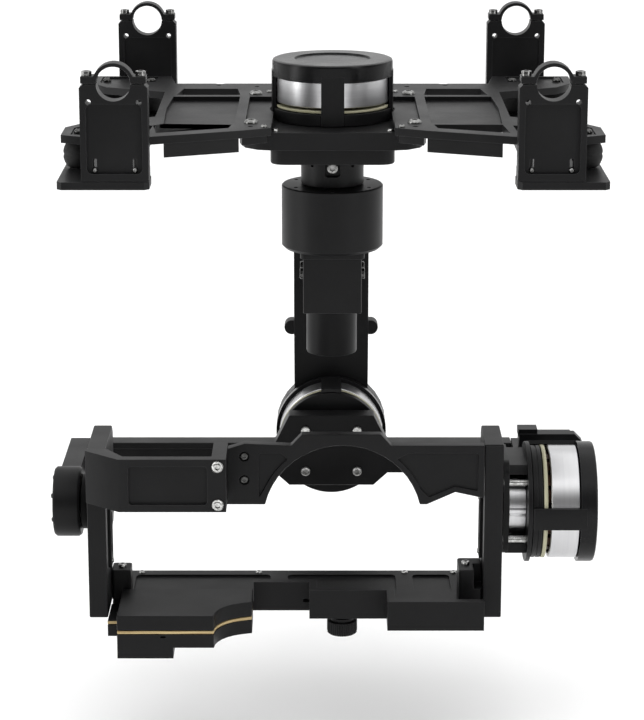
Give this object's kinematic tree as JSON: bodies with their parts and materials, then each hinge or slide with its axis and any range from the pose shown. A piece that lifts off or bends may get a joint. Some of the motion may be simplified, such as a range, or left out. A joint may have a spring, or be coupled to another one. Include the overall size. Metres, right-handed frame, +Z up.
{
  "type": "camera gimbal stabilizer",
  "caption": "Three-axis camera gimbal that hangs on rubber dampers under two rails, with pan, roll and tilt motors and an open cage for a small camera.",
  "frame": {"origin": "the middle of the four rail clamps' bores, on the yaw axis", "axes": "+Z up along the yaw axis, -Y the camera's viewing direction, +X to the right as the front is looked at"},
  "size_m": [0.2156, 0.2033, 0.2386],
  "materials": {
    "black_anodised": "satin black anodised, fine blasted",
    "black_plate": "satin black anodised plate, brushed",
    "turned_aluminium": "bright turned, fine rings",
    "insulator": "cream circuit board edge",
    "circuit_board": "gold-brown circuit board edge",
    "damper_rubber": "matte moulded rubber",
    "steel": "bright steel",
    "winding": "lacquered copper winding"
  },
  "bodies": {
    "hanger": {"clamp_block_front_left": "black_anodised", "clamp_block_rear_left": "black_anodised", "clamp_block_front_right": "black_anodised", "clamp_block_rear_right": "black_anodised", "clamp_cap_front_left": "black_anodised", "clamp_cap_rear_left": "black_anodised", "clamp_cap_front_right": "black_anodised", "clamp_cap_rear_right": "black_anodised", "rail_left": "black_anodised", "rail_right": "black_anodised", "damper_inner_front_left": "damper_rubber", "damper_outer_front_left": "damper_rubber", "damper_inner_rear_left": "damper_rubber", "damper_outer_rear_left": "damper_rubber", "damper_inner_front_right": "damper_rubber", "damper_outer_front_right": "damper_rubber", "damper_inner_rear_right": "damper_rubber", "damper_outer_rear_right": "damper_rubber", "wing_left": "black_plate", "wing_right": "black_plate", "centre_plate": "black_anodised", "yaw_block": "black_anodised", "yaw_motor_base": "black_anodised", "yaw_motor_board": "insulator", "yaw_motor_stator": "winding", "yaw_motor_bearing": "steel", "yaw_motor_housing": "black_anodised"},
    "yaw_arm": {"yaw_motor_rotor": "turned_aluminium", "neck": "black_anodised", "slip_ring_housing": "black_anodised", "slip_ring": "steel", "arm": "black_anodised", "roll_plate": "black_anodised", "roll_motor_base": "black_anodised", "roll_motor_board": "insulator", "roll_motor_stator": "winding", "roll_motor_bearing": "steel", "roll_motor_housing": "black_anodised"},
    "roll_yoke": {"roll_motor_rotor": "turned_aluminium", "yoke_beam": "black_anodised", "yoke_arm_left": "black_anodised", "yoke_arm_right": "black_anodised", "tilt_flange": "black_anodised", "tilt_collar": "turned_aluminium", "tilt_motor_base": "black_anodised", "tilt_motor_board": "insulator", "tilt_motor_stator": "winding", "tilt_motor_bearing": "steel", "tilt_motor_housing": "black_anodised"},
    "tilt_cage": {"tilt_motor_rotor": "turned_aluminium", "cage_post_left": "black_anodised", "cage_post_right": "black_anodised", "tray": "black_anodised", "lens_plate": "black_anodised", "grip_arm": "black_anodised", "electronics_lid": "black_anodised", "control_board": "circuit_board", "electronics_box": "black_anodised", "idle_bearing": "black_anodised"},
    "camera_screw": {"camera_screw": "black_anodised"}
  },
  "joints": [
    {"name": "yaw", "type": "hinge", "parent": "hanger", "child": "yaw_arm", "pos_m": [0, 0, -0.0264], "axis": [0, 0, 1], "continuous": true},
    {"name": "roll", "type": "hinge", "parent": "yaw_arm", "child": "roll_yoke", "pos_m": [0, 0.0803, -0.1813], "axis": [0, 1, 0], "range_deg": [-40, 40]},
    {"name": "tilt", "type": "hinge", "parent": "roll_yoke", "child": "tilt_cage", "pos_m": [0, 0, -0.1813], "axis": [1, 0, 0], "range_deg": [-30, 120]},
    {"name": "camera_screw_turn", "type": "hinge", "parent": "tilt_cage", "child": "camera_screw", "pos_m": [0.004, -0.0156, -0.2243], "axis": [0, 0, 1], "continuous": true}
  ]
}
